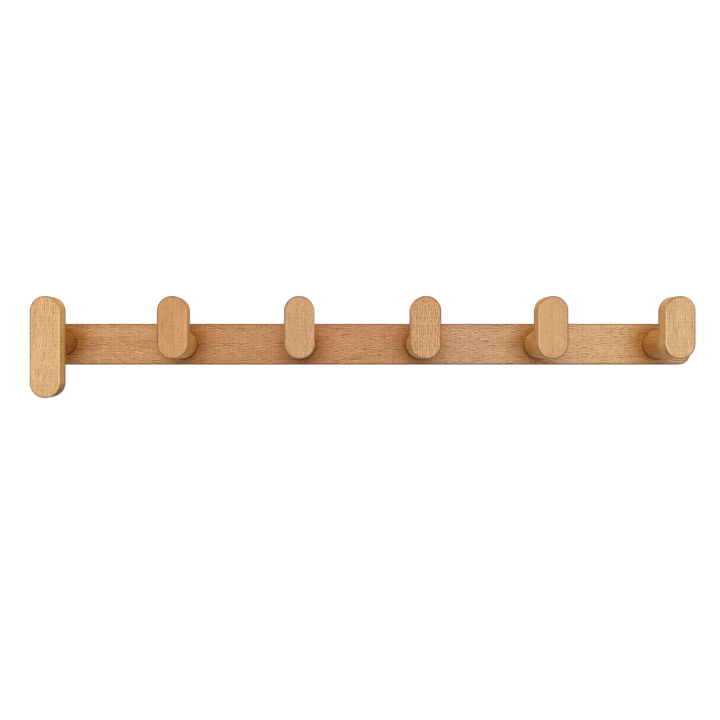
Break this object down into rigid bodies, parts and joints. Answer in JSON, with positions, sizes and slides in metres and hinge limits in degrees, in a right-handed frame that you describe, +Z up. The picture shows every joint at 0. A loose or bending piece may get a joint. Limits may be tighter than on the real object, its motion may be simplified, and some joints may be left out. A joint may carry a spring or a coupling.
{
  "type": "wall hook rack",
  "caption": "Long wooden wall board with round posts, each capped by an upright round-ended plate for hanging coats on; keyhole plates in its back hang it on wall screws.",
  "frame": {"origin": "centre of the board's back face, on the wall", "axes": "+X along the board, to the right as seen from the front; +Y into the wall; +Z up; the hooks stand out towards -Y"},
  "size_m": [0.7, 0.062, 0.101],
  "materials": {
    "board_beech": "steamed beech, oiled, grain along the board",
    "plate_beech": "lighter beech, oiled, grain up the plate, edges rounded over",
    "post_beech": "turned beech, oiled, golden brown, grain along the post",
    "dowel_beech": "plain beech dowel pin",
    "zinc_steel": "zinc-plated sheet steel",
    "yellow_zinc_steel": "yellow zinc-plated wood screw"
  },
  "bodies": {
    "root": {"board": "board_beech", "hook_1_plate": "plate_beech", "hook_1_post": "post_beech", "hook_1_dowel": "dowel_beech", "hook_1_screw": "yellow_zinc_steel", "hook_2_plate": "plate_beech", "hook_2_post": "post_beech", "hook_2_dowel": "dowel_beech", "hook_2_screw": "yellow_zinc_steel", "hook_3_plate": "plate_beech", "hook_3_post": "post_beech", "hook_3_dowel": "dowel_beech", "hook_3_screw": "yellow_zinc_steel", "hook_4_plate": "plate_beech", "hook_4_post": "post_beech", "hook_4_dowel": "dowel_beech", "hook_4_screw": "yellow_zinc_steel", "hook_5_plate": "plate_beech", "hook_5_post": "post_beech", "hook_5_dowel": "dowel_beech", "hook_5_screw": "yellow_zinc_steel", "hook_6_plate": "plate_beech", "hook_6_post": "post_beech", "hook_6_dowel": "dowel_beech", "hook_6_screw": "yellow_zinc_steel", "left_hanger_plate": "zinc_steel", "left_hanger_screw_1": "yellow_zinc_steel", "left_hanger_screw_2": "yellow_zinc_steel", "right_hanger_plate": "zinc_steel", "right_hanger_screw_1": "yellow_zinc_steel", "right_hanger_screw_2": "yellow_zinc_steel"}
  },
  "joints": []
}
